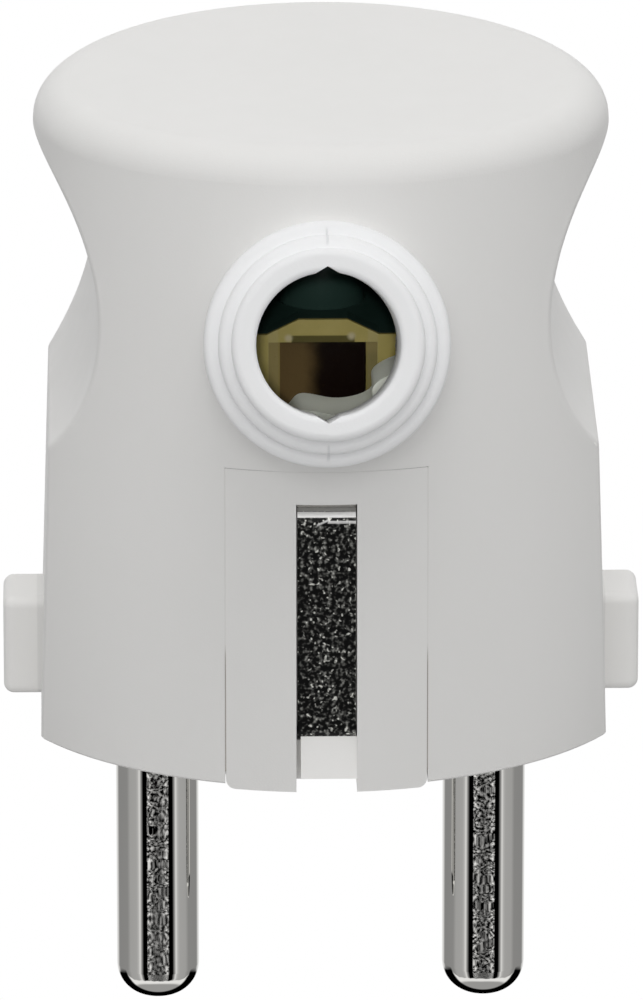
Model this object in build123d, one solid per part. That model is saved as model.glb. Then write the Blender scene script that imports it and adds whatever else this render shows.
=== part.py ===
from build123d import *
import os
from math import cos, hypot, pi, radians, sin, tan

# Angled mains plug with two round pins and side earth contacts, to be wired by its user.
# Millimetres. The pins point down, the cable entry is at the front (-Y), and z = 0 is the
# engagement face, half way between the pins.

# Pins, by the standard sheet for this plug
pin_spacing = 19.0
pin_radius = 2.4
pin_length = 19.0
pin_tip_round = 1.9
pin_shoulder = 2.75

# Outer form: round foot, two side flats, finger grips, egg-shaped head
body_height = 37.2
foot_half_width = 18.95
foot_half_depth = 17.45
head_half_width = 16.28
head_front = 15.0
head_back = 15.3
head_widest_y = -1.65
head_rim_round = 2.1
flat_half_width = 16.2
flat_draft = 1.7
grip_radius = 12.6
grip_axis_x = 25.47
grip_drop = 11.3
grip_skew = 0.4
side_edge_round = 0.7
waist_drop = 10.2
waist_half_width = 17.2
waist_front = 16.35
waist_back = 16.5
waist_widest_y = -0.6
shoulder_drop = 20.2
side_wall = 2.0
roof = 2.5
foot_gap = 0.25
foot_chamfer = 0.1

# Side keys
key_reach = 18.35
key_width = 4.6
key_bottom = 0.37
key_top = 6.35
key_round = 0.6

# Base with its two tongues
plate = 2.7
land = 0.8
tongue_half_width = 5.7
tongue_drop = 7.8
tongue_depth = 3.85
tongue_corner = 0.5
tongue_gap = 0.04
plate_gap = 0.15
slot_width = 3.44
slot_drop = 1.9
nub_bottom = 0.8
nub_top = 3.5
nub_gap = 0.25
nub_recess = 0.05
nub_slope = 0.75
nub_corner = 0.45
screw_room = 0.3

# Earth bracket
strip_recess = 0.55
strip_width = 3.3
strip_sheet = 0.8
strip_bend = 0.95
strip_lip = 1.6
strip_top_gap = 0.25
bridge_half_width = 3.6
bridge_reach = 12.5
bridge_corner = 1.5
earth_terminal_y = 9.2
earth_shank = 3.2

# Terminals
head_radius = 3.1
head_height = 9.0
wire_hole_radius = 1.5
wire_hole_z = 8.3
terminal_thread = 1.25
terminal_head_radius = 2.25
terminal_head_height = 1.8
terminal_shank = 4.3
washer_side = 5.0
washer_sheet = 0.8

# Housing screw, its threaded bush and the post that holds it
post_radius = 2.5
post_gap = 0.1
bush_radius = 1.8
bush_length = 8.0
housing_thread = 1.3
housing_head_radius = 2.9
housing_head_height = 1.7
housing_head_sink = 0.4
housing_hole_gap = 0.5
housing_shank = 9.0

# Terminal carrier
carrier_half_width = 5.5
carrier_front_y = 7.0
carrier_back_y = 4.4
carrier_drop = 2.95
crest_rise = 0.9
crest_half_top = 1.4
crest_half_foot = 3.2
crest_depth = 1.5
window_half_width = 2.45
window_drop = 0.45
window_bottom = 13.0
window_depth = 3.4
rebate_half_width = 3.1
rebate_depth = 0.5
wing_gap = 1.25
wing_half_depth = 4.6
wing_top = 10.2
wing_corner = 1.2

# Cord clamp
clamp_screw_x = 5.9
clamp_inset = 6.55
clamp_half_depth = 1.5
clamp_half_length = 8.0
clamp_drop = 7.0
clamp_low_lug = 0.5
clamp_low_end = 2.7
clamp_high_lug = 3.9
clamp_high_end = 4.9
clamp_wave = [(-1.6, 0.75), (0.5, 0.6), (2.7, 1.3)]
clamp_arch_half = 3.4
clamp_arch_rise = 0.8
clamp_corner = 0.8
clamp_thread = 1.15
clamp_head_radius = 1.9
clamp_head_height = 1.4
clamp_thread_depth = 8.0
clamp_bite = 6.0
clamp_post_radius = 2.0
clamp_web = 0.8
saddle_half_width = 4.5
saddle_drop = 1.0
saddle_height = 5.0
saddle_radius = 5.5
saddle_hollow = 1.4

# Cable sleeve
entry_tilt = 18.0
entry_out = 0.15
entry_drop = 10.4
sleeve_bore = 4.03
sleeve_neck = 5.0
sleeve_reach = 5.0
sleeve_steps = [(5.4, 5.0), (6.12, 3.5), (6.9, 2.1)]
step_round = 0.45
bore_round = 0.35
sleeve_tail = 4.6
sleeve_flange = 5.6
notch_half_width = 0.75
notch_depth = 0.36

# Screw driver slots
driver_slot = 0.7

# Points that each level outline of the body passes through
outline_steps = 16

# Worked out from the sizes above
big = 60.0
shoulder_z = body_height - shoulder_drop
waist_z = body_height - waist_drop
grip_axis_z = body_height - grip_drop
entry_z = body_height - entry_drop
entry_y = -foot_half_depth + entry_out
tongue_top = entry_z - tongue_drop
tongue_inner_y = foot_half_depth - tongue_depth
slot_top = tongue_top - slot_drop
strip_top = slot_top - strip_top_gap
strip_face_y = foot_half_depth - strip_recess
nub_face_y = foot_half_depth - nub_recess
carrier_top = entry_z - carrier_drop
crest_top = carrier_top + crest_rise
window_top = carrier_top - window_drop
wing_reach = flat_half_width - side_wall - wing_gap
clamp_y = foot_half_depth - clamp_inset
clamp_seat_z = entry_z - clamp_drop
bridge_z = plate
seat_z = plate + land
housing_seat = housing_head_sink + housing_head_height
head_top = seat_z + head_height


def block(x0, x1, y0, y1, z0, z1):
    """Box between two corners."""
    size = Box(x1 - x0, y1 - y0, z1 - z0)
    return Pos((x0 + x1) / 2, (y0 + y1) / 2, (z0 + z1) / 2) * size


def rod(radius, z0, z1, x=0.0, y=0.0):
    """Upright cylinder between two heights."""
    return Pos(x, y, (z0 + z1) / 2) * Cylinder(radius, z1 - z0)


def egg(z, half_width, front, back, widest_y):
    """Level outline of two half ellipses that meet where the body is widest."""
    spots = []
    for step in range(outline_steps):
        turn = 2 * pi * step / outline_steps
        depth = back - widest_y if cos(turn) > 0 else front + widest_y
        spots.append((half_width * sin(turn), widest_y + depth * cos(turn)))
    with BuildSketch(Plane.XY.offset(z)) as outline:
        with BuildLine():
            Spline(*spots, periodic=True)
        make_face()
    return outline.sketch


def column(inset):
    """Outlines stacked from the round foot to the head, without the finger grips."""
    slope = shoulder_z * tan(radians(flat_draft))
    outlines = [
        (0.0, foot_half_width, foot_half_depth, foot_half_depth, 0.0),
        (shoulder_z, foot_half_width - slope, foot_half_depth - slope, foot_half_depth - slope, 0.0),
        (waist_z, waist_half_width, waist_front, waist_back, waist_widest_y),
        (body_height, head_half_width, head_front, head_back, head_widest_y),
    ]
    return loft([egg(z, width - inset, front - inset, back - inset, widest)
                 for z, width, front, back, widest in outlines])


def flats(inset):
    """Front outline of the body between its drafted flats, with room for the head above."""
    low = flat_half_width - inset
    high = low - grip_axis_z * tan(radians(flat_draft))
    with BuildSketch(Plane.XZ) as outline:
        with BuildLine():
            Polyline((-low, 0), (low, 0), (high, grip_axis_z), (big, grip_axis_z),
                     (big, big), (-big, big), (-big, grip_axis_z),
                     (-high, grip_axis_z), close=True)
        make_face()
    return extrude(outline.sketch, big, both=True)


def grip(side, inset):
    """Cylinder that hollows one side for the fingers, a little further out at the back."""
    turn = Rot(0, 0, -side * grip_skew) * Rot(90, 0, 0)
    return Pos(side * grip_axis_x, 0, grip_axis_z) * turn * Cylinder(grip_radius + inset, 2 * big)


def envelope(inset, rounded=False):
    """Outer form moved inwards by an inset; its rim and side edges are rounded on request."""
    body = column(inset)
    if rounded:
        body = fillet(body.faces().sort_by(Axis.Z)[-1].edges(), head_rim_round)
    body = body & flats(inset)
    body = body - grip(-1, inset) - grip(1, inset)
    if not rounded:
        return body
    return fillet([e for e in body.edges() if on_grip(e) or on_flat(e)], side_edge_round)


def on_grip(edge):
    """Whether an edge lies where a finger grip meets the rest of the body."""
    skew = radians(grip_skew)
    for spot in (edge @ 0.15, edge @ 0.5, edge @ 0.85):
        across = (abs(spot.X) - grip_axis_x - spot.Y * tan(skew)) * cos(skew)
        if abs(hypot(across, spot.Z - grip_axis_z) - grip_radius) > 0.02:
            return False
    return True


def on_flat(edge):
    """Whether an edge runs up the side of a drafted flat."""
    for spot in (edge @ 0.15, edge @ 0.5, edge @ 0.85):
        if abs(abs(spot.X) - flat_half_width + spot.Z * tan(radians(flat_draft))) > 0.02:
            return False
    return edge.bounding_box().size.Z > shoulder_z / 2


def entry_plane(along=0.0):
    """Plane across the cable entry, its normal pointing out along the cable."""
    tilt = radians(entry_tilt)
    out = Vector(0, -cos(tilt), sin(tilt))
    spot = Vector(0, entry_y, entry_z) + out * along
    return Plane(origin=spot, x_dir=(1, 0, 0), z_dir=out)


def entry_rod(radius, start, end):
    """Cylinder about the cable entry's axis."""
    return extrude(entry_plane(start) * Circle(radius), end - start)


def screw(radius, cap_radius, cap_height, seat, shank, x, y, up=True):
    """Slotted cheese-head screw: its head sits on a seat height, its shank goes through it."""
    way = 1 if up else -1
    top = seat + way * cap_height
    cap = rod(cap_radius, min(seat, top), max(seat, top), x, y)
    cap = fillet(cap.faces().sort_by(Axis.Z)[-1 if up else 0].edges(), cap_height * 0.2)
    slot_floor = top - way * cap_height * 0.45
    cap -= block(x - cap_radius, x + cap_radius, y - driver_slot / 2, y + driver_slot / 2,
                 min(top, slot_floor), max(top, slot_floor))
    tip = seat - way * shank
    return cap + rod(radius, min(seat, tip), max(seat, tip), x, y)


def strap_outline():
    """Side outline of the earth strap: a sheet bent up at both ends, open at the top."""
    lip_y = strip_face_y - strip_sheet - strip_lip
    height = strip_top - bridge_z
    inner_bend = strip_bend - strip_sheet
    with BuildSketch(Plane.YZ) as outline:
        with Locations((0, bridge_z + height / 2)):
            RectangleRounded(2 * strip_face_y, height, strip_bend)
            RectangleRounded(2 * (strip_face_y - strip_sheet), height - 2 * strip_sheet,
                             inner_bend, mode=Mode.SUBTRACT)
        with Locations((0, strip_top)):
            Rectangle(2 * lip_y, 3 * strip_sheet, mode=Mode.SUBTRACT)
    return outline.sketch


def reach(side, inner_y, outer_y):
    """Span along Y between two distances, to the front (side = -1) or to the back."""
    return sorted((side * inner_y, side * outer_y))


def nub(side):
    """Bright nub at the foot of an earth slot: rounded top, face sloping back to the strip."""
    left = -slot_width / 2 + nub_gap
    right = slot_width / 2
    floor_y = strip_face_y - strip_sheet
    body = block(left, right, *reach(side, floor_y, nub_face_y), nub_bottom, nub_top)
    body = fillet(body.edges().filter_by(Axis.Y).group_by(Axis.Z)[-1], nub_corner)
    low, high = nub_bottom, nub_top
    with BuildSketch(Plane.YZ) as wedge:
        with BuildLine():
            Polyline((side * nub_face_y, low), (side * nub_face_y, high),
                     (side * (nub_face_y - nub_slope), high), close=True)
        make_face()
    return body - extrude(wedge.sketch, slot_width, both=True)


def tongue(side):
    """Front (side = -1) or back tongue, flush with the outer form, with its earth slot."""
    half_slot = slot_width / 2
    floor_y = strip_face_y - strip_sheet
    panel = block(-tongue_half_width, tongue_half_width,
                  *reach(side, tongue_inner_y, foot_half_depth + 1), 0, tongue_top)
    panel = fillet(panel.edges().filter_by(Axis.Y).group_by(Axis.Z)[0], tongue_corner)
    body = outer & panel
    body -= block(-half_slot, half_slot, *reach(side, floor_y, big), 0, slot_top)
    body += nub(side)
    body -= extrude(strap_outline(), half_slot, both=True)
    return body - block(-half_slot, half_slot, *reach(side, tongue_inner_y, big), 0, nub_bottom)


def make_base():
    """Moulded base: plate, tongues, lands under the terminals, clamp posts and saddle."""
    body = envelope(side_wall + plate_gap) & block(-big, big, -big, big, 0, plate)
    body += tongue(-1) + tongue(1)
    for side in (-1, 1):
        x0, x1 = sorted((side * (bridge_half_width + plate_gap), side * wing_reach))
        body += block(x0, x1, -wing_half_depth, wing_half_depth, plate, seat_z)
        x = side * clamp_screw_x
        body += rod(clamp_post_radius, plate, clamp_seat_z, x, -clamp_y)
        web = sorted((side * (tongue_half_width - clamp_web), side * tongue_half_width))
        body += block(*web, -tongue_inner_y, -clamp_y, plate, tongue_top - clamp_web)
        body -= rod(clamp_thread, clamp_seat_z - clamp_thread_depth, clamp_seat_z, x, -clamp_y)
        body -= rod(pin_shoulder, 0, seat_z, side * pin_spacing / 2)
    saddle_top = clamp_seat_z - saddle_drop
    saddle = block(-saddle_half_width, saddle_half_width, -tongue_inner_y,
                   -clamp_y + clamp_half_depth, saddle_top - saddle_height, saddle_top)
    trough = Pos(0, -clamp_y, saddle_top - saddle_hollow + saddle_radius) * Rot(90, 0, 0)
    body += saddle - trough * Cylinder(saddle_radius, big)
    body -= rod(housing_head_radius + screw_room, 0, housing_seat)
    body -= rod(housing_thread + housing_hole_gap, 0, plate)
    return body - rod(terminal_thread + screw_room, plate / 3, plate, 0, earth_terminal_y)


def make_hood():
    """Moulded cap: hollow body with grips and keys, its post and the holes in its wall."""
    half = tongue_half_width + tongue_gap
    shell = outer & block(-big, big, -big, big, foot_gap, big)
    shell = chamfer(shell.faces().sort_by(Axis.Z)[0].edges(), foot_chamfer)
    for side in (-1, 1):
        x0, x1 = sorted((side * (flat_half_width - side_wall), side * key_reach))
        key = block(x0, x1, -key_width / 2, key_width / 2, key_bottom, key_top)
        tip = key.faces().sort_by(Axis.X)[-1 if side > 0 else 0]
        shell += fillet(tip.edges() + key.edges().filter_by(Axis.X), key_round)
    cavity = envelope(side_wall) & block(-big, big, -big, big, -1, body_height - roof)
    shell -= cavity
    for side in (-1, 1):
        shell -= block(-half, half, *reach(side, tongue_inner_y, big), 0, tongue_top + tongue_gap)
    shell -= entry_rod(sleeve_neck, -sleeve_tail, 2 * sleeve_reach)
    post = rod(post_radius, seat_z, body_height - roof / 2)
    post -= rod(bush_radius, seat_z, seat_z + bush_length)
    post -= rod(housing_thread, seat_z, seat_z + bush_length + 3)
    return shell + post


def make_sleeve():
    """Stepped soft sleeve, clamped round the hole in the hood's front wall."""
    body = None
    start = -3.0
    for radius, end in sleeve_steps[::-1]:
        ring = entry_rod(radius, start, end)
        rim = ring.faces().filter_by(entry_plane()).sort_by(Axis.Z)[-1].edges()
        ring = fillet(rim, step_round)
        body = ring if body is None else body + ring
    body -= outer
    body += entry_rod(sleeve_neck, -sleeve_tail, 2.0)
    body += entry_rod(sleeve_flange, -sleeve_tail, 0.0) & envelope(side_wall)
    body -= entry_rod(sleeve_bore, -big, big)
    mouth = body.faces().filter_by(entry_plane()).sort_by(Axis.Y)[0].edges().sort_by(SortBy.RADIUS)[0]
    body = fillet(mouth, bore_round)
    for side in (-1, 1):
        peak = side * (sleeve_bore + notch_depth)
        foot = side * (sleeve_bore - 0.08)
        with BuildSketch(entry_plane(-sleeve_tail - 1)) as notch:
            with BuildLine():
                Polyline((-notch_half_width, foot), (0, peak), (notch_half_width, foot),
                         close=True)
            make_face()
        body -= extrude(notch.sketch, 3 * sleeve_reach)
    return body


def make_bracket():
    """Earth bracket: one strip of sheet, bent up at both ends, with a wide bridge."""
    strap = extrude(strap_outline(), strip_width / 2, both=True)
    bridge = block(-bridge_half_width, bridge_half_width, -bridge_reach, bridge_reach,
                   bridge_z, seat_z)
    strap += fillet(bridge.edges().filter_by(Axis.Z), bridge_corner)
    strap -= rod(housing_thread + housing_hole_gap, 0, seat_z)
    return strap - rod(terminal_thread, 0, seat_z, 0, earth_terminal_y)


def make_pin(side):
    """Round pin with a shoulder in the base, a terminal head, its wire hole and thread hole."""
    x = side * pin_spacing / 2
    shank = rod(pin_radius, -pin_length, 0, x)
    shank = fillet(shank.faces().sort_by(Axis.Z)[0].edges(), pin_tip_round)
    head = rod(head_radius, seat_z, head_top, x)
    head = chamfer(head.faces().sort_by(Axis.Z)[-1].edges(), 0.4)
    body = shank + rod(pin_shoulder, 0, seat_z, x) + head
    body -= Pos(x, 0, wire_hole_z) * Rot(90, 0, 0) * Cylinder(wire_hole_radius, 3 * head_radius)
    return body - rod(terminal_thread, wire_hole_z, head_top, x)


def make_washer(x, y, seat):
    """Square pressure washer with rounded corners under a terminal screw."""
    half = washer_side / 2
    body = block(x - half, x + half, y - half, y + half, seat, seat + washer_sheet)
    body = fillet(body.edges().filter_by(Axis.Z), 0.6)
    return body - rod(terminal_thread, seat, seat + washer_sheet, x, y)


def make_carrier():
    """Inner carrier: wings round the terminal heads, middle wall with crest and window."""
    body = block(-carrier_half_width, carrier_half_width, -carrier_front_y, carrier_back_y,
                 seat_z, carrier_top)
    with BuildSketch(Plane.XZ.offset(carrier_front_y)) as crest:
        with BuildLine():
            Polyline((-crest_half_foot, carrier_top), (-crest_half_top, crest_top),
                     (crest_half_top, crest_top), (crest_half_foot, carrier_top), close=True)
        make_face()
    body += extrude(crest.sketch, -crest_depth)
    body -= block(-rebate_half_width, rebate_half_width, -carrier_front_y,
                  -carrier_front_y + rebate_depth, window_bottom, window_top)
    body -= block(-window_half_width, window_half_width, -carrier_front_y,
                  -carrier_front_y + window_depth, window_bottom, window_top)
    body -= rod(post_radius + post_gap, seat_z, crest_top)
    for side in (-1, 1):
        x0, x1 = sorted((side * (carrier_half_width - 1), side * wing_reach))
        wing = block(x0, x1, -wing_half_depth, wing_half_depth, seat_z, wing_top)
        far_edges = wing.edges().filter_by(Axis.Z).group_by(Axis.X)[0 if side < 0 else -1]
        body += fillet(far_edges, wing_corner)
        x = side * pin_spacing / 2
        body -= rod(head_radius, seat_z, wing_top, x)
        body -= block(x - wire_hole_radius, x + wire_hole_radius, -wing_half_depth,
                      wing_half_depth, wire_hole_z - wire_hole_radius, wing_top)
    return body


def make_clamp():
    """Cord clamp bar: low lug at the left, wavy middle, high lug at the right."""
    low = clamp_seat_z + clamp_low_lug
    high = clamp_seat_z + clamp_high_lug
    half = clamp_half_length
    wave = [(x, low + rise) for x, rise in clamp_wave]
    with BuildSketch(Plane.XZ.offset(clamp_y - clamp_half_depth)) as outline:
        with BuildLine():
            Line((-half, clamp_seat_z), (-half, low))
            Line((-half, low), (-clamp_low_end, low))
            Spline((-clamp_low_end, low), *wave, (clamp_high_end, high),
                   tangents=((1, 0), (1, 0.3)))
            Line((clamp_high_end, high), (half, high))
            Line((half, high), (half, clamp_seat_z))
            Line((half, clamp_seat_z), (clamp_arch_half, clamp_seat_z))
            ThreePointArc((clamp_arch_half, clamp_seat_z), (0, clamp_seat_z + clamp_arch_rise),
                          (-clamp_arch_half, clamp_seat_z))
            Line((-clamp_arch_half, clamp_seat_z), (-half, clamp_seat_z))
        make_face()
    bar = extrude(outline.sketch, 2 * clamp_half_depth)
    bar = fillet(bar.edges().filter_by(Axis.Z), clamp_corner)
    for side in (-1, 1):
        bar -= rod(clamp_thread, clamp_seat_z, high, side * clamp_screw_x, -clamp_y)
    return bar


outer = envelope(0, rounded=True)
clamp_seats = {-1: clamp_seat_z + clamp_low_lug, 1: clamp_seat_z + clamp_high_lug}
names = {-1: "left", 1: "right"}

pieces = {
    "hood": make_hood(),
    "base": make_base(),
    "terminal_carrier": make_carrier(),
    "earth_bracket": make_bracket(),
    "cable_sleeve": make_sleeve(),
    "cord_clamp": make_clamp(),
    "earth_washer": make_washer(0, earth_terminal_y, seat_z),
    "earth_screw": screw(terminal_thread, terminal_head_radius, terminal_head_height,
                         seat_z + washer_sheet, earth_shank, 0, earth_terminal_y),
    "housing_screw": screw(housing_thread, housing_head_radius, housing_head_height,
                           housing_seat, housing_shank, 0, 0, up=False),
}
bush = rod(bush_radius, seat_z, seat_z + bush_length)
pieces["threaded_bush"] = bush - rod(housing_thread, seat_z, seat_z + bush_length)
for side, name in names.items():
    x = side * pin_spacing / 2
    seat = clamp_seats[side]
    pieces["pin_" + name] = make_pin(side)
    pieces["terminal_washer_" + name] = make_washer(x, 0, head_top)
    pieces["terminal_screw_" + name] = screw(
        terminal_thread, terminal_head_radius, terminal_head_height,
        head_top + washer_sheet, terminal_shank, x, 0)
    pieces["clamp_screw_" + name] = screw(
        clamp_thread, clamp_head_radius, clamp_head_height, seat,
        seat - clamp_seat_z + clamp_bite, side * clamp_screw_x, -clamp_y)

os.makedirs("parts", exist_ok=True)
for name, piece in pieces.items():
    export_step(piece, "parts/" + name + ".step")
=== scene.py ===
from math import cos, pi, radians, sin

import bmesh
import bpy
from mathutils import Matrix, Vector
from mathutils.bvhtree import BVHTree


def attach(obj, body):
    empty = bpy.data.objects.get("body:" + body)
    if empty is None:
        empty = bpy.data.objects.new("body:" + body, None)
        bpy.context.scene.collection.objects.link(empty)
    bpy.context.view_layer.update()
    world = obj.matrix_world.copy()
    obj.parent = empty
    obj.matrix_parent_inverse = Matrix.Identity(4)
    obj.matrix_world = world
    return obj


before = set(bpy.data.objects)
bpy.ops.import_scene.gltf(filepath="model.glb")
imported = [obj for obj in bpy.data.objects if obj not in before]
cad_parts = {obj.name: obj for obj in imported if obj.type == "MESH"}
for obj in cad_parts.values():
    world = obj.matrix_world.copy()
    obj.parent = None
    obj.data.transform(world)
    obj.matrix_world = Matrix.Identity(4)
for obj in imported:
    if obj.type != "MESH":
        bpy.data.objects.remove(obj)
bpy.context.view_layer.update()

MM = 0.001

# Photograph: its size, the pins' scale and where the frame's centre falls on the object
PHOTO_LONG_SIDE = 1000
PIXELS_PER_MM_AT_PINS = 17.15
PIN_DEPTH = 3.2 * MM
CAMERA_DISTANCE = 700 * MM
CAMERA_ELEVATION = 19.5
CAMERA_AZIMUTH = -1.2
CENTRE_UP = 10.75 * MM
CENTRE_RIGHT = 0.06 * MM
SENSOR = 36.0

# Outer form, as the part has it, for masks that tell outside from inside
GRIP_AXIS = (25.47, 25.9)
GRIP_RADIUS = 12.6
WALL = 2.0
FLAT_HALF_WIDTH = 16.2
BODY_HEIGHT = 37.2
# KEYS_FROM and the NUB_ values also mark where the white is painted paler as painted light
KEYS_FROM = 16.35
NUB_HALF_WIDTH = 1.71
NUB_BOTTOM = 0.75
NUB_TOP = 3.55
NUB_FROM_Y = 16.0

# Where faces count as inner: the foot's oval and how it narrows with z squared, the share of it
# that is inside, the flats' lean, and how far below the top and above the foot the inside ends
OVAL = (18.9, 17.4)
OVAL_NARROWING = (-0.00213, -0.0017)
OVAL_SHARE = 0.94
FLAT_LEAN = -0.03
ROOF = 1.2
FOOT = 1.5

# Seams round the tongues: the tongue's size, its gap, how far below the surface they close, how
# far their ribbons reach into the walls, where the outer form is probed, and where the painted
# shade lower down ends
TONGUE_HALF_WIDTH = 5.7
TONGUE_TOP = 19.0
TONGUE_GAP = 0.04
SEAM_FOOT = 1.0
SEAM_SINK = 0.02
SEAM_TOP_SINK = 0.02
SEAM_TUCK = 0.01
SEAM_PROBE = 0.1
SEAM_PROBE_DOWN = 0.02
SEAM_STEPS = 48
RAY_START = 40
SEAM_OPEN = 8.5
SEAM_SHUT = 10.5

# Terminal carrier: the edge of its crest, the window with its rebate, the jambs' bands of painted
# highlight, and the lintel's painted shade with its two knobs of painted highlight
CREST_EDGE = -6.8
REBATE_BACK = -6.55
WINDOW_TOP = 23.4
JAMB_FROM = (2.5, 2.6)
JAMB_TO = (3.05, 3.2)
LINTEL_HALF = 1.85
LINTEL_TOP = 23.85
# The knobs are spots of painted highlight only; they have no form
KNOBS = [(-1.96, -7.0, 23.65), (1.62, -7.0, 23.76)]
KNOB_RADII = (0.06, 0.34)

# Cable sleeve: tilt, its spot on the y and z axes, and the radii between which its parting
# lines show
ENTRY_TILT = 18.0
ENTRY_SPOT = (-17.3, 26.8)
SEAM_FROM = 5.6
SEAM_TO = 6.5

# Earth strip: where its outer face lies, the grain's scale, and how the level of its painted dark
# reflection follows the grain
STRIP_FACE = 16.9
STRIP_GRAIN = 3.9
STRIP_CONTRAST = 1.40
STRIP_OFFSET = -0.602
STRIP_GAIN = 3.0

# The strip's upper end: painted highlights on its bent edge, on a second edge below it and on a
# small burr
LIP_BAR = (16.30, 16.58)
SECOND_BAR = (15.96, 16.12)
SECOND_BAR_X = (0.06, 1.7)
BURR_Z = 16.12
BURR_X = (-0.55, 0.15)
BURR_SLOPE = 0.45
BAR_SOFTNESS = 0.03

# Colours: where there are two, the material changes between them
WHITE = (0.842, 0.837, 0.820, 1), (0.880, 0.871, 0.856, 1)
WHITE_SPECK = (0.70, 0.69, 0.67, 1)
# Painted light: the side keys and the two nubs are painted this paler white
PAINTED_LIGHT_WHITE = (0.965, 0.955, 0.935, 1)
# Painted shade: near-black green on the hood's inner faces and on the carrier behind its crest
INNER_PAINTED_SHADE = (0.028, 0.058, 0.048, 1)
SLEEVE = (0.940, 0.944, 0.950, 1), (0.968, 0.970, 0.974, 1)
SLEEVE_SEAM = (0.60, 0.61, 0.63, 1)
CLAMP = (0.86, 0.89, 0.77, 1), (0.93, 0.95, 0.86, 1)
OLIVE = (0.372, 0.308, 0.080, 1), (0.482, 0.406, 0.152, 1)
# Painted highlight: lighter bands on the jambs
OLIVE_JAMB_HIGHLIGHT = (0.456, 0.397, 0.186, 1)
# Painted shade: the lintel's recess over the window painted dark
OLIVE_LINTEL_SHADE = (0.101, 0.085, 0.021, 1)
# Painted highlight: pale spots for the two knobs
OLIVE_KNOB_HIGHLIGHT = (0.524, 0.465, 0.287, 1)
OLIVE_SPECK = (0.08, 0.06, 0.02, 1)
# Painted shade in the window: brown, going to near-black to the right and downwards
WINDOW_PAINTED_SHADE = (0.144, 0.095, 0.037, 1), (0.007, 0.003, 0.002, 1)
PIN_NICKEL = (0.76, 0.75, 0.72, 1), (0.82, 0.81, 0.785, 1)
STRIP_NICKEL = (0.74, 0.73, 0.70, 1), (0.82, 0.81, 0.785, 1)
# Painted shade on the strip's bend above its highlight
STRIP_BEND_SHADE = (0.46, 0.455, 0.44, 1)
# Painted highlight on the strip's bent upper end, second edge and burr
STRIP_HIGHLIGHT = (0.97, 0.96, 0.95, 1)
# Seam ribbons: colours of the painted shade in the gaps round the tongues
SEAM_WHITE = (0.80, 0.79, 0.77, 1), (0.84, 0.83, 0.81, 1)
SEAM_PAINTED_SHADE = (0.40, 0.36, 0.33, 1)
SEAM_TOP_PAINTED_SHADE = (0.88, 0.875, 0.86, 1), (0.50, 0.495, 0.49, 1)
ZINC = (0.42, 0.43, 0.45, 1), (0.66, 0.67, 0.69, 1)
BRASS = (0.50, 0.36, 0.13, 1), (0.78, 0.60, 0.28, 1)

# Floor, in metres from its middle to its edge, and its grey
FLOOR_Z = -60 * MM
FLOOR_HALF = 3.0
FLOOR_GREY = 0.58

# Room light on the part: its level at the floor and above, the heights in degrees between which
# it rises and falls, and how much is left of it at the sides, between two shares of x
ROOM_LOW = 0.23
ROOM_BAND = 0.42
ROOM_RISES = (-6, 12)
ROOM_FALLS = (50, 75)
ROOM_SIDES = 0.56
ROOM_ASIDE = (0.4, 0.9)

# Four lamps, in metres, degrees and watts, and what they are aimed at
LAMPS_AIM = 15 * MM
KEY_DISTANCE = 0.55
KEY_AZIMUTH = 4.0
KEY_ELEVATION = 72.0
KEY_SIZE = 0.34
KEY_WATTS = 0.56
FILL_AZIMUTH = -3.0
FILL_ELEVATION = 28.0
FILL_DISTANCE = 0.9
FILL_SIZE = 0.30
FILL_WATTS = 0.90
SIDE_AZIMUTH = 78.0
SIDE_ELEVATION = 56.0
SIDE_DISTANCE = 0.7
SIDE_SIZE = 0.4
SIDE_WATTS = 0.40

# Narrow lamp that shines into the cable entry: the cone is the smallest that a lamp takes
SNOOT_AZIMUTH = -1.2
SNOOT_ELEVATION = 19.3
SNOOT_DISTANCE = 0.43
SNOOT_CONE = 1.0
SNOOT_BLEND = 0.12
SNOOT_RADIUS = 0.3 * MM
SNOOT_WATTS = 2.25
SNOOT_AIM = (-3, 1)

# What reflections show, by azimuth away from the front in degrees: brightness of the studio's
# walls and of the grained panel in front
STUDIO = [(0, 0.0), (42, 0.0), (47, 0.30), (52, 0.84), (57, 0.54), (63, 0.44), (84, 0.42),
          (95, 0.30), (138, 0.28), (150, 0.75), (180, 1.0)]
PANEL = [(0, 0.12), (12, 0.15), (24, 0.34), (29, 0.30), (31, 0.0), (180, 0.0)]

# The panel's grain: how often it changes per radian across and up, and its levels
PANEL_ACROSS = 6.0
PANEL_UP = 3600.0
PANEL_SPARKLE = (0.40, 0.72, 0.0, 3.2)

# The mirrored table, by height in degrees: its edge, where the dark band under the edge ends in
# front and at the sides, how the table darkens at the back, and its glow near the part and at
# its edge
TABLE_EDGE = (-6, -3)
BAND_TURNS = (80, 110)
BAND_ENDS = (-44, -27)
BAND_SOFTNESS = (-2, 2)
TABLE_STARTS = (-12, -8)
TABLE_BACK = (0.10, 0.22)
GLOW_CHANGES = (-60, -52)
TABLE_GLOW = 0.38
TABLE_EDGE_GLOW = 0.95


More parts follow.
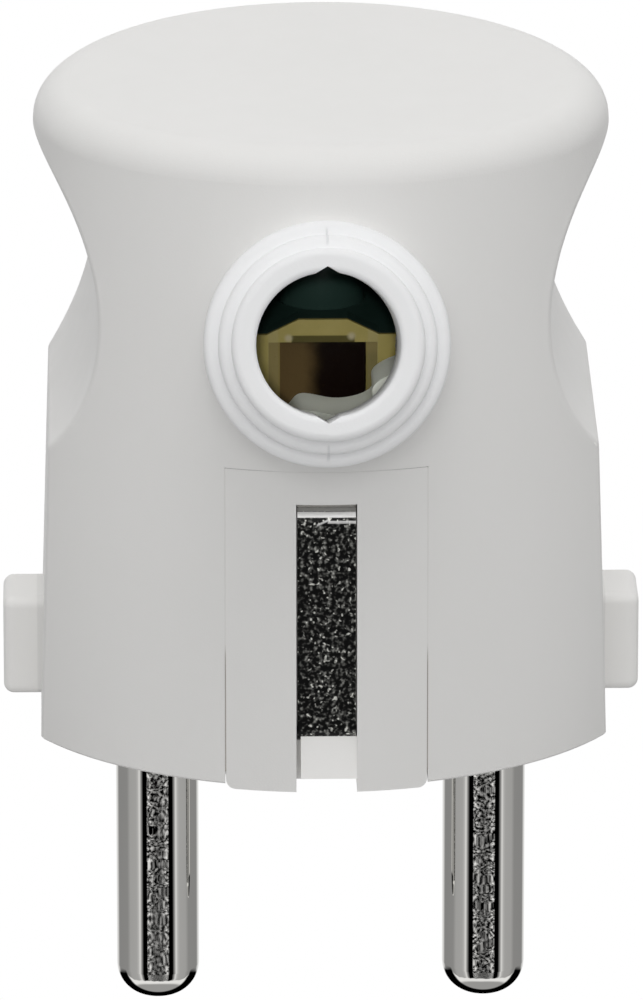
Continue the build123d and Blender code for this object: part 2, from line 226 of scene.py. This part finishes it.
class Tree:
    """Short way to add and join the nodes of one material or of the world."""

    def __init__(self, owner):
        owner.use_nodes = True
        self.tree = owner.node_tree
        self.tree.nodes.clear()

    def add(self, kind, inputs=None, **settings):
        node = self.tree.nodes.new(kind)
        for name, value in settings.items():
            setattr(node, name, value)
        for key, value in (inputs or {}).items():
            self.feed(node.inputs[key], value)
        return node

    def feed(self, socket, value):
        if isinstance(value, bpy.types.NodeSocket):
            self.tree.links.new(value, socket)
        elif isinstance(value, bpy.types.Node):
            self.tree.links.new(value.outputs[0], socket)
        else:
            socket.default_value = value

    def math(self, operation, *values, clamp=False):
        node = self.add("ShaderNodeMath", operation=operation, use_clamp=clamp)
        for socket, value in zip(node.inputs, values):
            self.feed(socket, value)
        return node.outputs[0]

    def mix(self, factor, first, second):
        node = self.add("ShaderNodeMix", data_type="RGBA", clamp_factor=True)
        self.feed(node.inputs[0], factor)
        self.feed(node.inputs[6], first)
        self.feed(node.inputs[7], second)
        return node.outputs[2]

    def range(self, value, low, high, to_low=0.0, to_high=1.0):
        node = self.add("ShaderNodeMapRange", interpolation_type="SMOOTHSTEP")
        for key, number in (("Value", value), ("From Min", low), ("From Max", high),
                            ("To Min", to_low), ("To Max", to_high)):
            self.feed(node.inputs[key], number)
        return node.outputs[0]

    def millimetres(self):
        """Position in the part's own frame, in millimetres, with its x, y and z."""
        spot = self.add("ShaderNodeTexCoord").outputs["Object"]
        scaled = self.add("ShaderNodeVectorMath", operation="SCALE")
        self.feed(scaled.inputs[0], spot)
        scaled.inputs["Scale"].default_value = 1 / MM
        parts = self.add("ShaderNodeSeparateXYZ", {0: scaled.outputs[0]})
        return scaled.outputs[0], parts.outputs

    def noise(self, vector, scale, detail=3.0, rough=0.55, stretch=None):
        if stretch:
            mapping = self.add("ShaderNodeMapping", {"Vector": vector, "Scale": stretch})
            vector = mapping.outputs[0]
        return self.add("ShaderNodeTexNoise", {"Vector": vector, "Scale": scale,
                                               "Detail": detail, "Roughness": rough}).outputs[0]

    def bump(self, height, distance, strength=1.0, under=None):
        node = self.add("ShaderNodeBump", {"Height": height, "Distance": distance,
                                           "Strength": strength})
        if under is not None:
            self.feed(node.inputs["Normal"], under)
        return node.outputs[0]

    def surface(self, **inputs):
        shader = self.add("ShaderNodeBsdfPrincipled")
        for key, value in inputs.items():
            self.feed(shader.inputs[key.replace("_", " ")], value)
        self.add("ShaderNodeOutputMaterial", {"Surface": shader.outputs[0]})
        return shader


def new_tree(name):
    material = bpy.data.materials.new(name)
    return material, Tree(material)


def inner_mask(tree, axes):
    """1 on the faces inside the hood, 0 on its outer faces, from the wall's middle surface."""
    x, y, z = axes
    squared = tree.math("MULTIPLY", z, z)
    width = tree.math("MULTIPLY_ADD", squared, OVAL_NARROWING[0], OVAL[0])
    depth = tree.math("MULTIPLY_ADD", squared, OVAL_NARROWING[1], OVAL[1])
    across = tree.math("POWER", tree.math("DIVIDE", x, width), 2.0)
    along = tree.math("POWER", tree.math("DIVIDE", y, depth), 2.0)
    in_oval = tree.math("LESS_THAN", tree.math("ADD", across, along), OVAL_SHARE ** 2)
    side = tree.math("ABSOLUTE", x)
    dx = tree.math("SUBTRACT", side, GRIP_AXIS[0])
    dz = tree.math("SUBTRACT", z, GRIP_AXIS[1])
    off = tree.math("ADD", tree.math("MULTIPLY", dx, dx), tree.math("MULTIPLY", dz, dz))
    past_grip = tree.math("GREATER_THAN", off, (GRIP_RADIUS + WALL / 2) ** 2)
    flat = tree.math("MULTIPLY_ADD", z, FLAT_LEAN, FLAT_HALF_WIDTH - WALL / 2)
    in_flat = tree.math("LESS_THAN", side, flat)
    under_roof = tree.math("LESS_THAN", z, BODY_HEIGHT - ROOF)
    over_foot = tree.math("GREATER_THAN", z, FOOT)
    mask = in_oval
    for part in (past_grip, in_flat, under_roof, over_foot):
        mask = tree.math("MULTIPLY", mask, part)
    return mask


def white_plastic(name, hollow=False):
    """Satin moulded plastic: flow marks and grain; painted light on keys and nubs; painted shade
    inside if hollow.
    """
    material, tree = new_tree(name)
    spot, axes = tree.millimetres()
    flow = tree.noise(spot, 0.11, detail=2.0, stretch=(1.0, 1.0, 0.45))
    speck = tree.noise(spot, 5.5, detail=4.0, rough=0.62)
    colour = tree.mix(flow, *WHITE)
    colour = tree.mix(tree.range(speck, 0.60, 0.80, 0.0, 0.10), colour, WHITE_SPECK)
    on_key = tree.range(tree.math("ABSOLUTE", axes[0]), KEYS_FROM, KEYS_FROM + 0.1)
    painted_light = tree.math("MAXIMUM", tree.math("MULTIPLY", on_key, 0.85), nub_mask(tree, axes))
    # Painted light: keys and nubs painted a paler white than the moulding
    colour = tree.mix(painted_light, colour, PAINTED_LIGHT_WHITE)
    if hollow:
        # Painted shade on the hood's inner faces
        colour = tree.mix(inner_mask(tree, axes), colour, INNER_PAINTED_SHADE)
    gloss = tree.range(tree.noise(spot, 0.7, detail=3.0), 0.3, 0.7, 0.40, 0.50)
    grain = tree.noise(spot, 9.0, detail=2.0)
    tree.surface(Base_Color=colour, Roughness=gloss,
                 Normal=tree.bump(grain, 0.000012, 0.5), IOR=1.48)
    return material


def nub_mask(tree, axes):
    """1 on the two nubs at the foot of the earth slots, which get painted light."""
    across = tree.math("LESS_THAN", tree.math("ABSOLUTE", axes[0]), NUB_HALF_WIDTH)
    low = tree.math("LESS_THAN", axes[2], NUB_TOP)
    out = tree.math("GREATER_THAN", tree.math("ABSOLUTE", axes[1]), NUB_FROM_Y)
    over = tree.math("GREATER_THAN", axes[2], NUB_BOTTOM)
    mask = tree.math("MULTIPLY", across, low)
    return tree.math("MULTIPLY", mask, tree.math("MULTIPLY", out, over))


def soft_plastic(name):
    """Soft white sleeve: cooler and paler than the mouldings, with its parting lines."""
    material, tree = new_tree(name)
    spot, axes = tree.millimetres()
    mottle = tree.noise(spot, 0.35, detail=3.0)
    colour = tree.mix(mottle, *SLEEVE)
    grain = tree.noise(spot, 6.0, detail=3.0, rough=0.6)
    near_seam = tree.range(tree.math("ABSOLUTE", axes[0]), 0.02, 0.09, 1.0, 0.0)
    near_seam = tree.math("MULTIPLY", near_seam, seam_span(tree, axes))
    colour = tree.mix(tree.math("MULTIPLY", near_seam, 0.35), colour, SLEEVE_SEAM)
    grooves = tree.bump(near_seam, 0.00005, 0.6)
    tree.surface(Base_Color=colour, Roughness=tree.range(mottle, 0.3, 0.7, 0.46, 0.56),
                 Normal=tree.bump(grain, 0.00002, 0.5, under=grooves), IOR=1.46)
    return material


def seam_span(tree, axes):
    """1 on the middle ring of the sleeve, where its two parting lines show."""
    tilt = radians(ENTRY_TILT)
    down = tree.math("MULTIPLY", tree.math("SUBTRACT", axes[2], ENTRY_SPOT[1]), cos(tilt))
    out = tree.math("SUBTRACT", axes[1], ENTRY_SPOT[0])
    away = tree.math("MULTIPLY_ADD", out, sin(tilt), down)
    radius = tree.math("ABSOLUTE", away)
    inner = tree.range(radius, SEAM_FROM - 0.15, SEAM_FROM + 0.15)
    outer = tree.range(radius, SEAM_TO - 0.15, SEAM_TO + 0.15, 1.0, 0.0)
    return tree.math("MULTIPLY", inner, outer)


def dull_plastic(name, dark, light, rough):
    """Inner mouldings: mottled colour, fine filler grain and scuffed gloss."""
    material, tree = new_tree(name)
    spot = tree.millimetres()[0]
    mottle = tree.noise(spot, 0.6, detail=4.0)
    filler = tree.noise(spot, 7.0, detail=3.0, rough=0.7)
    colour = tree.mix(mottle, dark, light)
    colour = tree.mix(tree.range(filler, 0.58, 0.78, 0.0, 0.35), colour, dark)
    tree.surface(Base_Color=colour, Roughness=tree.range(mottle, 0.3, 0.7, rough, rough + 0.12),
                 Normal=tree.bump(filler, 0.00003, 0.6))
    return material


def carrier_plastic():
    """Olive moulding: painted highlights on jambs and knobs; painted shade on lintel, window and
    behind its crest.
    """
    material, tree = new_tree("olive_carrier")
    spot, axes = tree.millimetres()
    x, y, z = axes
    mottle = tree.noise(spot, 0.6, detail=4.0)
    filler = tree.noise(spot, 7.0, detail=3.0, rough=0.7)
    colour = tree.mix(mottle, *OLIVE)
    side = tree.math("ABSOLUTE", x)
    over_window = tree.math("GREATER_THAN", z, WINDOW_TOP + 0.05)
    # Painted highlight: lighter bands on the jambs
    jamb_highlight = tree.math("MULTIPLY", tree.range(side, *JAMB_FROM),
                     tree.range(side, *JAMB_TO, 1.0, 0.0))
    colour = tree.mix(tree.math("MULTIPLY", jamb_highlight, 0.5), colour, OLIVE_JAMB_HIGHLIGHT)
    # Painted shade: the recessed lintel over the window painted dark
    lintel_shade = tree.math("MULTIPLY", tree.range(side, LINTEL_HALF, LINTEL_HALF - 0.1),
                       tree.range(z, LINTEL_TOP, LINTEL_TOP - 0.1))
    lintel_shade = tree.math("MULTIPLY", lintel_shade, tree.math("GREATER_THAN", z, WINDOW_TOP))
    colour = tree.mix(lintel_shade, colour, OLIVE_LINTEL_SHADE)
    # Painted highlights: pale spots where the two knobs would catch light
    for knob in KNOBS:
        off = tree.add("ShaderNodeVectorMath", {0: spot, 1: knob}, operation="DISTANCE")
        near = tree.range(off.outputs["Value"], *KNOB_RADII, 1.0, 0.0)
        colour = tree.mix(near, colour, OLIVE_KNOB_HIGHLIGHT)
    wobble = tree.math("MULTIPLY_ADD", tree.noise(spot, 0.9, detail=2.0), 0.8, -0.4)
    inside = tree.math("MULTIPLY", tree.range(y, REBATE_BACK, REBATE_BACK + 0.1),
                       tree.math("SUBTRACT", 1.0, over_window))
    shade = tree.range(tree.math("ADD", x, wobble), -1.2, 0.1)
    under = tree.range(tree.math("ADD", z, wobble), WINDOW_TOP - 0.2, WINDOW_TOP - 1.2)
    # Painted shade in the window, darker to the right and downwards
    window_shade = tree.mix(tree.math("MULTIPLY", shade, under), *WINDOW_PAINTED_SHADE)
    colour = tree.mix(inside, colour, window_shade)
    # Painted shade: the faces behind the crest, over the window, painted near-black green
    shade_behind_crest = tree.math("MULTIPLY", tree.range(y, CREST_EDGE, CREST_EDGE + 0.1), over_window)
    colour = tree.mix(shade_behind_crest, colour, INNER_PAINTED_SHADE)
    colour = tree.mix(tree.range(filler, 0.58, 0.78, 0.0, 0.25), colour, OLIVE_SPECK)
    tree.surface(Base_Color=colour, Roughness=tree.range(mottle, 0.3, 0.7, 0.38, 0.5),
                 Normal=tree.bump(filler, 0.00002, 0.6))
    return material


def pin_plating():
    """Mirror-smooth nickel with slow waves and a haze; its grain is in the world it mirrors."""
    material, tree = new_tree("pin_plating")
    spot = tree.millimetres()[0]
    waves = tree.noise(spot, 0.6, detail=1.0)
    haze = tree.noise(spot, 0.8, detail=3.0, stretch=(1.0, 1.0, 0.2))
    colour = tree.mix(haze, *PIN_NICKEL)
    tree.surface(Base_Color=colour, Metallic=1.0,
                 Roughness=tree.range(haze, 0.3, 0.7, 0.002, 0.005),
                 Normal=tree.bump(waves, 0.0000004, 1.0))
    return material


def span(tree, value, ends):
    """1 between two ends, with soft edges."""
    rise = tree.range(value, ends[0] - BAR_SOFTNESS, ends[0] + BAR_SOFTNESS)
    fall = tree.range(value, ends[1] - BAR_SOFTNESS, ends[1] + BAR_SOFTNESS, 1.0, 0.0)
    return tree.math("MULTIPLY", rise, fall)


def strip_plating():
    """Nickel-plated strip: its outer faces carry a painted dark reflection, grained, with painted
    glints.
    """
    material, tree = new_tree("strip_plating")
    spot, axes = tree.millimetres()
    grain = tree.noise(spot, STRIP_GRAIN, detail=1.0, rough=0.5)
    # Painted dark reflection on the outer faces: grained, with painted glints from the specks,
    # darker towards the left edge
    level = tree.math("MULTIPLY_ADD", grain, STRIP_CONTRAST, STRIP_OFFSET)
    speck = tree.noise(spot, STRIP_GRAIN * 1.3, detail=0.0)
    level = tree.math("ADD", level, tree.range(speck, 0.66, 0.78, 0.0, 0.45))
    edge = tree.range(axes[0], -1.65, -1.2, -0.09, 0.0)
    level = tree.math("MAXIMUM", tree.math("ADD", level, edge), 0.02)
    shade = tree.math("MULTIPLY", tree.math("POWER", level, 2.2), STRIP_GAIN, clamp=True)
    dark_reflection = tree.add("ShaderNodeCombineColor", {0: shade, 1: shade,
                                               2: tree.math("MULTIPLY", shade, 0.93)}).outputs[0]
    haze = tree.noise(spot, 0.8, detail=3.0)
    clean = tree.mix(haze, *STRIP_NICKEL)
    x, y, z = axes
    wave = tree.math("MULTIPLY_ADD", haze, 0.06, -0.03)
    level_z = tree.math("ADD", z, wave)
    # Painted highlights on the bent upper end, on a second edge below it and on a small burr
    lip_highlight = span(tree, level_z, LIP_BAR)
    second = tree.math("MULTIPLY", span(tree, level_z, SECOND_BAR), span(tree, x, SECOND_BAR_X))
    sloped = tree.math("SUBTRACT", z, tree.math("MULTIPLY_ADD", x, BURR_SLOPE, BURR_Z))
    burr_highlight = tree.math("MULTIPLY", span(tree, sloped, (-0.06, 0.06)), span(tree, x, BURR_X))
    lesser = tree.math("MULTIPLY", tree.math("MAXIMUM", second, burr_highlight), 0.75)
    highlight = tree.math("MAXIMUM", lip_highlight, lesser)
    over_bar = tree.range(level_z, LIP_BAR[1], LIP_BAR[1] + 0.06)
    face = tree.range(tree.math("ABSOLUTE", y), STRIP_FACE - 0.60, STRIP_FACE - 0.50)
    # Outer faces get the painted dark reflection
    colour = tree.mix(face, clean, dark_reflection)
    # Painted shade on the bend above the highlight
    colour = tree.mix(tree.math("MULTIPLY", over_bar, face), colour, STRIP_BEND_SHADE)
    # Painted highlights on the outer faces
    colour = tree.mix(tree.math("MULTIPLY", highlight, face), colour, STRIP_HIGHLIGHT)
    tree.surface(Base_Color=colour, Metallic=tree.range(face, 0.0, 1.0, 1.0, 0.55),
                 Roughness=tree.range(face, 0.0, 1.0, 0.18, 0.34),
                 Normal=tree.bump(grain, 0.00002, 1.0))
    return material


def machined_metal(name, dark, light, rough):
    """Turned or stamped metal: fine tool lines across, a few darker stains."""
    material, tree = new_tree(name)
    spot = tree.millimetres()[0]
    lines = tree.noise(spot, 4.0, detail=3.0, stretch=(0.25, 0.25, 3.0))
    stain = tree.noise(spot, 0.5, detail=4.0)
    colour = tree.mix(tree.range(stain, 0.35, 0.7), light, dark)
    tree.surface(Base_Color=colour, Metallic=1.0,
                 Roughness=tree.range(lines, 0.3, 0.7, rough, rough + 0.15),
                 Normal=tree.bump(lines, 0.00002, 0.7))
    return material


def dress(node, material):
    """Gives a CAD node its material."""
    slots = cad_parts[node].material_slots
    for one in slots:
        one.material = material
    if not slots:
        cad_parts[node].data.materials.append(material)


def seam_shade_paint():
    """Seam ribbons' painted shade: white where the mouldings touch, darker lower down and at the
    top ends.
    """
    material, tree = new_tree("seam_painted_shade")
    spot, axes = tree.millimetres()
    seam_noise = tree.noise(spot, 1.4, detail=3.0, stretch=(1.0, 1.0, 0.3))
    height = tree.math("MULTIPLY_ADD", seam_noise, 3.0, axes[2])
    low = tree.range(height, SEAM_OPEN, SEAM_SHUT, 1.0, 0.0)
    colour = tree.mix(seam_noise, *SEAM_WHITE)
    # Painted shade: darker lower down in the side seams
    colour = tree.mix(low, colour, SEAM_PAINTED_SHADE)
    over = tree.range(axes[2], TONGUE_TOP - 0.02, TONGUE_TOP)
    ends = tree.range(tree.math("ABSOLUTE", axes[0]), 1.5, 5.0)
    # Painted shade: the top seam darker towards its ends
    colour = tree.mix(over, colour, tree.mix(ends, *SEAM_TOP_PAINTED_SHADE))
    tree.surface(Base_Color=colour, Roughness=tree.range(seam_noise, 0.3, 0.7, 0.5, 0.6),
                 Normal=tree.bump(seam_noise, 0.00001, 0.5))
    return material


def surface_y(tester, x, z, side):
    """Where the outer form lies at a spot of its front or back, in millimetres."""
    start = Vector((x, side * RAY_START, z)) * MM
    hit = tester.ray_cast(start, Vector((0, -side, 0)))[0]
    return hit.y / MM if hit else None


def add_seams():
    """Thin ribbons inside the gaps round both tongues, a hair below the outer form, painted with
    shade.
    """
    testers = []
    for node in ("hood", "base"):
        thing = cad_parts[node]
        mesh = bmesh.new()
        mesh.from_mesh(thing.data)
        mesh.transform(thing.matrix_world)
        testers.append(BVHTree.FromBMesh(mesh))
        mesh.free()
    hood_tester, base_tester = testers
    for side, name in ((-1, "front"), (1, "back")):
        verts, faces = [], []
        for x_side in (-1, 1):
            first = len(verts)
            x = x_side * TONGUE_HALF_WIDTH
            for step in range(SEAM_STEPS + 1):
                z = SEAM_FOOT + (TONGUE_TOP - SEAM_FOOT) * step / SEAM_STEPS
                y = surface_y(base_tester, x - x_side * SEAM_PROBE, z - SEAM_PROBE_DOWN, side)
                y -= side * SEAM_SINK
                verts += [(x - x_side * SEAM_TUCK, y, z),
                          (x + x_side * (TONGUE_GAP + SEAM_TUCK), y, z)]
            faces += [(first + 2 * i, first + 2 * i + 1, first + 2 * i + 3, first + 2 * i + 2)
                      for i in range(SEAM_STEPS)]
        first = len(verts)
        for step in range(SEAM_STEPS + 1):
            x = TONGUE_HALF_WIDTH * (2 * step / SEAM_STEPS - 1)
            y = surface_y(hood_tester, x, TONGUE_TOP + TONGUE_GAP + SEAM_PROBE, side)
            y -= side * SEAM_TOP_SINK
            verts += [(x, y, TONGUE_TOP - SEAM_TUCK), (x, y, TONGUE_TOP + TONGUE_GAP + SEAM_TUCK)]
        faces += [(first + 2 * i, first + 2 * i + 1, first + 2 * i + 3, first + 2 * i + 2)
                  for i in range(SEAM_STEPS)]
        mesh = bpy.data.meshes.new("seam_" + name)
        mesh.from_pydata([tuple(v * MM for v in vert) for vert in verts], [], faces)
        ribbon = bpy.data.objects.new("seam_" + name, mesh)
        bpy.context.scene.collection.objects.link(ribbon)
        mesh.materials.append(bpy.data.materials.get("seam_painted_shade") or seam_shade_paint())
        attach(ribbon, "root")


def aim(thing, spot, target):
    """Puts a lamp at a spot, facing a target."""
    thing.location = spot
    thing.rotation_euler = (target - spot).to_track_quat("-Z", "Y").to_euler()


def add_lamp(name, azimuth, elevation, distance, size, watts):
    """Round soft lamp at a place given by angles and distance, hidden from reflections."""
    lamp = bpy.data.lights.new(name, "AREA")
    lamp.shape = "DISK"
    lamp.size = size
    lamp.energy = watts
    thing = bpy.data.objects.new(name, lamp)
    bpy.context.scene.collection.objects.link(thing)
    a, e = radians(azimuth), radians(elevation)
    spot = Vector((sin(a) * cos(e), -cos(a) * cos(e), sin(e))) * distance
    aim(thing, spot, Vector((0, 0, LAMPS_AIM)))
    thing.visible_glossy = False


def add_snoot():
    """Narrow lamp that shines through the sleeve's bore on what lies inside."""
    lamp = bpy.data.lights.new("snoot", "SPOT")
    lamp.spot_size = radians(SNOOT_CONE)
    lamp.spot_blend = SNOOT_BLEND
    lamp.shadow_soft_size = SNOOT_RADIUS
    lamp.energy = SNOOT_WATTS
    thing = bpy.data.objects.new("snoot", lamp)
    bpy.context.scene.collection.objects.link(thing)
    a, e = radians(SNOOT_AZIMUTH), radians(SNOOT_ELEVATION)
    target = Vector((0, ENTRY_SPOT[0] + SNOOT_AIM[0], ENTRY_SPOT[1] + SNOOT_AIM[1])) * MM
    spot = target + Vector((sin(a) * cos(e), -cos(a) * cos(e), sin(e))) * SNOOT_DISTANCE
    aim(thing, spot, target)
    thing.visible_glossy = False


def add_camera():
    """Camera at the photograph's angle; the frame's centre and scale come from the pins."""
    a, e = radians(CAMERA_AZIMUTH), radians(CAMERA_ELEVATION)
    towards = Vector((sin(a) * cos(e), -cos(a) * cos(e), sin(e)))
    right = Vector((cos(a), sin(a), 0))
    up = towards.cross(right)
    centre = right * CENTRE_RIGHT + up * CENTRE_UP
    data = bpy.data.cameras.new("camera")
    camera = bpy.data.objects.new("camera", data)
    bpy.context.scene.collection.objects.link(camera)
    turn = Matrix((right, up, towards)).transposed().to_4x4()
    camera.matrix_world = Matrix.Translation(centre + towards * CAMERA_DISTANCE) @ turn
    data.sensor_width = SENSOR
    data.lens = (PIXELS_PER_MM_AT_PINS / MM * (CAMERA_DISTANCE + PIN_DEPTH)
                 / PHOTO_LONG_SIDE * SENSOR)
    data.clip_start = 0.01
    data.clip_end = 20
    bpy.context.scene.camera = camera


def by_azimuth(tree, aside, levels):
    """Brightness that changes with the angle from the front, given as angle and level pairs."""
    node = tree.add("ShaderNodeValToRGB", {0: tree.math("DIVIDE", aside, pi)})
    while len(node.color_ramp.elements) < len(levels):
        node.color_ramp.elements.new(0.5)
    for element, (angle, level) in zip(node.color_ramp.elements, levels):
        element.position = angle / 180
        element.color = (level, level, level, 1)
    return node.outputs[0]


def add_world():
    """White to the camera, even light on the part, and a dark-fronted studio to reflections."""
    world = bpy.data.worlds.new("studio")
    bpy.context.scene.world = world
    tree = Tree(world)
    way = tree.add("ShaderNodeTexCoord").outputs["Generated"]
    x, y, z = tree.add("ShaderNodeSeparateXYZ", {0: way}).outputs
    azimuth = tree.math("ARCTAN2", x, tree.math("MULTIPLY", y, -1.0))
    aside = tree.math("ABSOLUTE", azimuth)
    height = tree.math("ARCSINE", z)

    rising = tree.range(height, *map(radians, ROOM_RISES))
    falling = tree.range(height, *map(radians, ROOM_FALLS), 1.0, 0.0)
    room = tree.math("MULTIPLY_ADD", tree.math("MULTIPLY", rising, falling), ROOM_BAND, ROOM_LOW)
    sides = tree.range(tree.math("ABSOLUTE", x), *ROOM_ASIDE, 1.0, ROOM_SIDES)
    room = tree.math("MULTIPLY", room, sides)

    grid = tree.add("ShaderNodeCombineXYZ", {0: tree.math("MULTIPLY", azimuth, PANEL_ACROSS),
                                             1: tree.math("MULTIPLY", height, PANEL_UP)})
    weave = tree.noise(grid.outputs[0], 1.0, detail=2.0, rough=0.6)
    sparkle = tree.range(weave, *PANEL_SPARKLE)
    panel = tree.math("MULTIPLY", sparkle, by_azimuth(tree, aside, PANEL))
    below = tree.range(height, *map(radians, TABLE_EDGE), 1.0, 0.0)
    edge = tree.range(aside, *map(radians, BAND_TURNS), *map(radians, BAND_ENDS))
    above = tree.range(tree.math("SUBTRACT", height, edge), *map(radians, BAND_SOFTNESS))
    dark = tree.math("MULTIPLY", below, above)
    under = tree.range(height, *map(radians, TABLE_STARTS), 1.0, 0.0)
    table = tree.math("SUBTRACT", 1.0, tree.math("MULTIPLY", under, tree.range(y, *TABLE_BACK)))
    glow = tree.range(height, *map(radians, GLOW_CHANGES), TABLE_GLOW, TABLE_EDGE_GLOW)
    walls = by_azimuth(tree, aside, STUDIO)
    front = tree.math("ADD", panel, walls)
    mirrored = tree.add("ShaderNodeMix", data_type="FLOAT")
    for key, value in ((0, dark), (2, tree.math("MULTIPLY", table, glow)), (3, front)):
        tree.feed(mirrored.inputs[key], value)

    path = tree.add("ShaderNodeLightPath").outputs
    seen = tree.math("MAXIMUM", path["Is Camera Ray"], path["Is Transmission Ray"])
    strength = tree.add("ShaderNodeMix", data_type="FLOAT")
    for key, value in ((0, path["Is Glossy Ray"]), (2, room), (3, mirrored.outputs[0])):
        tree.feed(strength.inputs[key], value)
    shown = tree.add("ShaderNodeMix", data_type="FLOAT")
    for key, value in ((0, seen), (2, strength.outputs[0]), (3, 1.0)):
        tree.feed(shown.inputs[key], value)
    light = tree.add("ShaderNodeBackground",
                     {"Color": (1, 1, 1, 1), "Strength": shown.outputs[0]})
    tree.add("ShaderNodeOutputWorld", {"Surface": light.outputs[0]})


def add_floor():
    """Pale floor that lights the part from below; white to the camera, so no shadow shows."""
    half = FLOOR_HALF
    mesh = bpy.data.meshes.new("floor")
    corners = [(-half, -half), (half, -half), (half, half), (-half, half)]
    mesh.from_pydata([(x, y, FLOOR_Z) for x, y in corners], [], [(0, 1, 2, 3)])
    floor = bpy.data.objects.new("floor", mesh)
    bpy.context.scene.collection.objects.link(floor)
    material, tree = new_tree("floor_paper")
    spot = tree.millimetres()[0]
    mottle = tree.noise(spot, 0.02, detail=2.0)
    paper = tree.add("ShaderNodeBsdfDiffuse",
                     {"Color": tree.mix(mottle, (FLOOR_GREY,) * 3 + (1,),
                                        (FLOOR_GREY * 1.04,) * 3 + (1,))})
    glow = tree.add("ShaderNodeEmission", {"Color": (1, 1, 1, 1), "Strength": 1.0})
    path = tree.add("ShaderNodeLightPath").outputs
    mixed = tree.add("ShaderNodeMixShader", {0: path["Is Camera Ray"], 1: paper.outputs[0],
                                             2: glow.outputs[0]})
    tree.add("ShaderNodeOutputMaterial", {"Surface": mixed.outputs[0]})
    mesh.materials.append(material)
    floor.visible_glossy = False


def dress_all():
    """Gives each CAD node its material."""
    white = white_plastic("white_moulding")
    dress("hood", white_plastic("white_hood", hollow=True))
    dress("base", white)
    dress("cable_sleeve", soft_plastic("soft_sleeve"))
    dress("cord_clamp", dull_plastic("pale_clamp", *CLAMP, 0.5))
    dress("terminal_carrier", carrier_plastic())
    plating = pin_plating()
    for node in ("pin_left", "pin_right"):
        dress(node, plating)
    dress("earth_bracket", strip_plating())
    zinc = machined_metal("zinc_steel", *ZINC, 0.25)
    for node in ("earth_washer", "earth_screw", "housing_screw", "terminal_washer_left",
                 "terminal_washer_right", "terminal_screw_left", "terminal_screw_right",
                 "clamp_screw_left", "clamp_screw_right"):
        dress(node, zinc)
    dress("threaded_bush", machined_metal("bush_brass", *BRASS, 0.22))


add_camera()
add_world()
add_floor()
add_lamp("key", KEY_AZIMUTH, KEY_ELEVATION, KEY_DISTANCE, KEY_SIZE, KEY_WATTS)
add_lamp("fill", FILL_AZIMUTH, FILL_ELEVATION, FILL_DISTANCE, FILL_SIZE, FILL_WATTS)
add_snoot()
add_lamp("side_left", -SIDE_AZIMUTH, SIDE_ELEVATION, SIDE_DISTANCE, SIDE_SIZE, SIDE_WATTS)
add_lamp("side_right", SIDE_AZIMUTH, SIDE_ELEVATION, SIDE_DISTANCE, SIDE_SIZE, SIDE_WATTS)
dress_all()
add_seams()
bpy.context.scene.view_settings.view_transform = "Standard"
